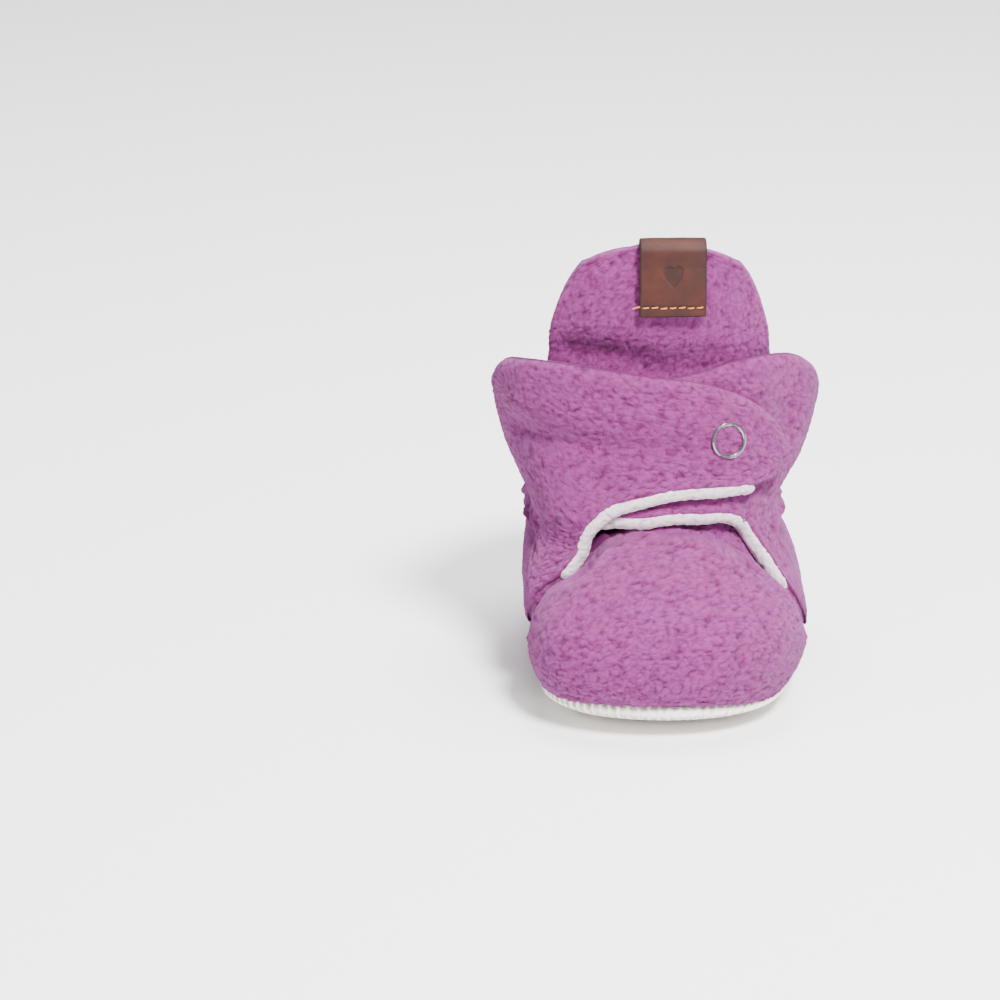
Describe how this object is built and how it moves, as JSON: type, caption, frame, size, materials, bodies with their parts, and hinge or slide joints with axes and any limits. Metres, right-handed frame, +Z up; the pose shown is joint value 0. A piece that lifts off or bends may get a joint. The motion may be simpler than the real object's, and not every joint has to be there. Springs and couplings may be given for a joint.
{
  "type": "baby bootie",
  "caption": "Soft fleece baby bootie for a left foot, with a tall tongue, a wrap-round ankle strap that snaps shut over a flap, and a woven grip sole.",
  "frame": {"origin": "on the ground, at the middle of the outsole's flat underside", "axes": "+Z up, -Y towards the toe, -X towards the inner side of the foot"},
  "size_m": [0.0882, 0.1243, 0.1192],
  "materials": {
    "outer_fleece": "short dense polyester fleece pile, orchid purple",
    "lining_fleece": "short brushed fleece, white",
    "sole_canvas": "coarse basket-weave grip cloth, ivory",
    "padding": "soft wadding",
    "elastic": "knitted elastic",
    "label_leather": "smooth brown leather with dark edges",
    "snap_metal": "bright plated steel"
  },
  "bodies": {
    "shoe": {"outsole": "sole_canvas", "sole_padding": "padding", "insole_lining": "lining_fleece", "vamp_shell": "outer_fleece", "vamp_lining": "lining_fleece", "heel_shell": "outer_fleece", "heel_lining": "lining_fleece", "ankle_elastic": "elastic"},
    "strap": {"strap_shell": "outer_fleece", "strap_lining": "lining_fleece", "snap_ring": "snap_metal", "snap_socket": "snap_metal"},
    "flap": {"flap_shell": "outer_fleece", "flap_lining": "lining_fleece", "snap_stud": "snap_metal", "snap_back_ring": "snap_metal"},
    "tongue": {"tongue_shell": "outer_fleece", "tongue_lining": "lining_fleece", "leather_label": "label_leather"}
  },
  "joints": [
    {"name": "strap_open", "type": "hinge", "parent": "shoe", "child": "strap", "pos_m": [-0.0446, 0.01, 0.063], "axis": [0.1045, 0, -0.9945], "range_deg": [0, 140]},
    {"name": "flap_open", "type": "hinge", "parent": "shoe", "child": "flap", "pos_m": [0.0406, 0.01, 0.063], "axis": [0.1045, 0, 0.9945], "range_deg": [0, 56.5]},
    {"name": "tongue_tip", "type": "hinge", "parent": "shoe", "child": "tongue", "pos_m": [0, -0.0208, 0.0534], "axis": [1, 0, 0], "range_deg": [0, 23]}
  ],
  "couplings": [
    {"joint": "flap_open", "follows": "strap_open", "ratio": 0.4},
    {"joint": "tongue_tip", "follows": "strap_open", "ratio": 0.16}
  ]
}
